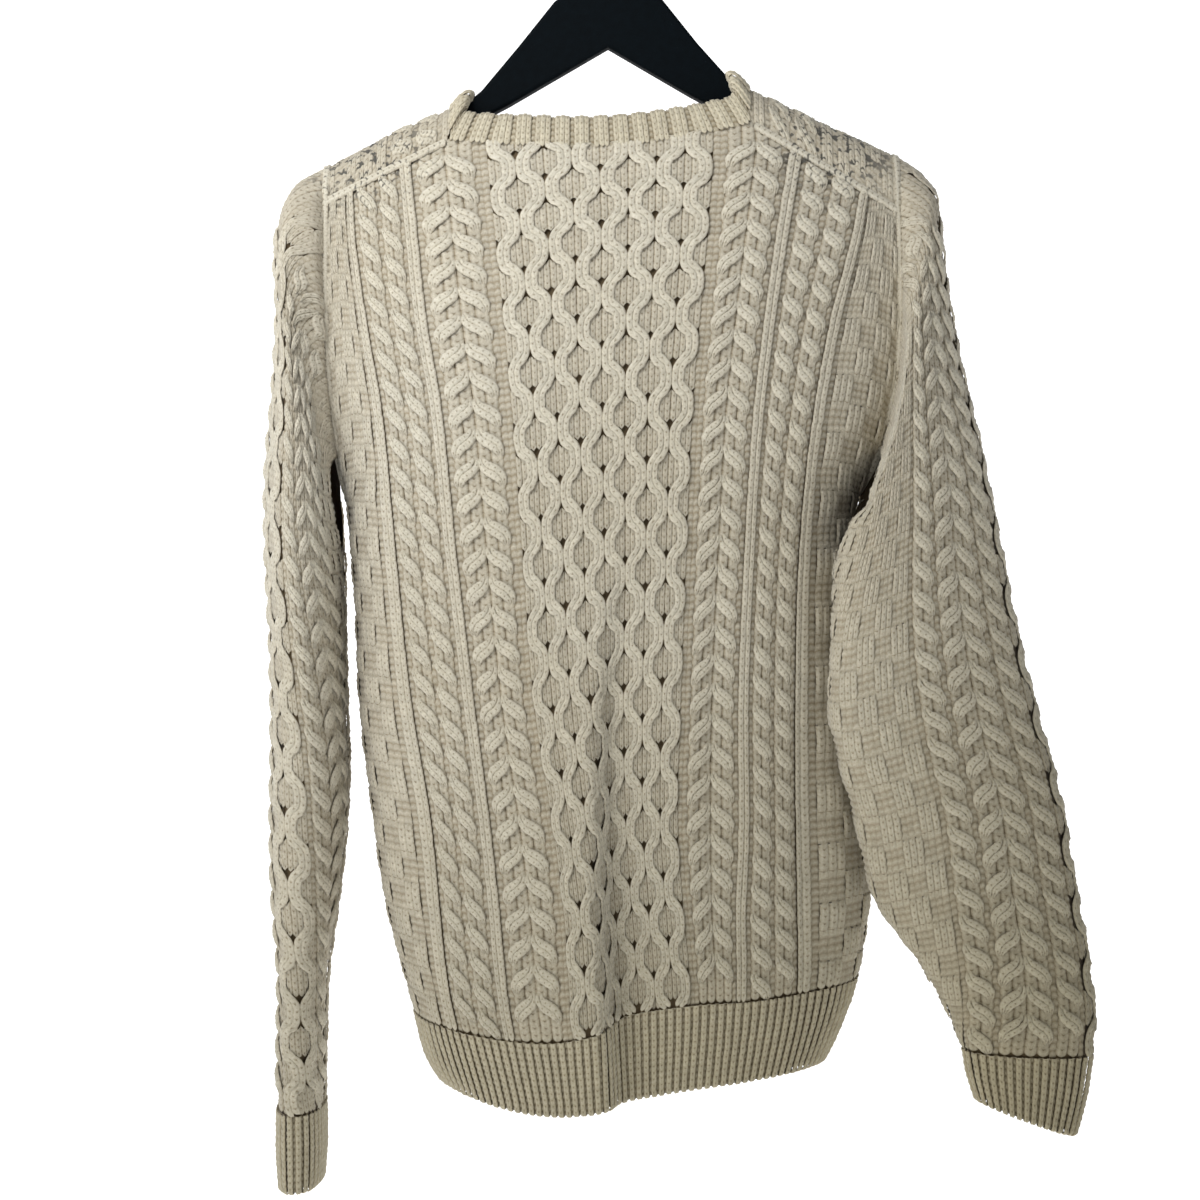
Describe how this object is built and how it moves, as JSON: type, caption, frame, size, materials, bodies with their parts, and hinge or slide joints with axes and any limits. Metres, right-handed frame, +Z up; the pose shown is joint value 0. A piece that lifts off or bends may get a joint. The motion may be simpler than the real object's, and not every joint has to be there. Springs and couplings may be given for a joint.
{
  "type": "cardigan on a hanger",
  "caption": "Cream cable-knit cardigan with a round ribbed neck, buttoned front, ribbed hem and cuffs, hanging on a flat black hanger with a metal hook.",
  "frame": {"origin": "inside top of the hanger's hook, where a rail carries it", "axes": "+Z up; -Y towards the side the picture shows, the back of the cardigan; +X to the right in the picture"},
  "size_m": [0.5432, 0.1637, 0.8679],
  "materials": {
    "cream_wool": "heathered cream wool in cables, matt",
    "cream_rib": "cream wool in rib stitch, matt",
    "button_horn": "brown horn-like plastic, satin",
    "label_cloth": "dark blank woven label",
    "hanger_black": "black plastic, satin",
    "hook_chrome": "polished metal wire"
  },
  "bodies": {
    "root": {"back_panel": "cream_wool", "left_front": "cream_wool", "right_front": "cream_wool", "back_hem_rib": "cream_rib", "left_front_hem_rib": "cream_rib", "right_front_hem_rib": "cream_rib", "button_band": "cream_rib", "buttonhole_band": "cream_rib", "button_1": "button_horn", "button_2": "button_horn", "button_3": "button_horn", "button_4": "button_horn", "button_5": "button_horn", "button_6": "button_horn", "button_7": "button_horn", "neckband": "cream_rib", "left_sleeve": "cream_wool", "right_sleeve": "cream_wool", "left_cuff": "cream_rib", "right_cuff": "cream_rib", "neck_label": "label_cloth", "hanger_arms": "hanger_black", "hanger_hook": "hook_chrome"}
  },
  "joints": []
}
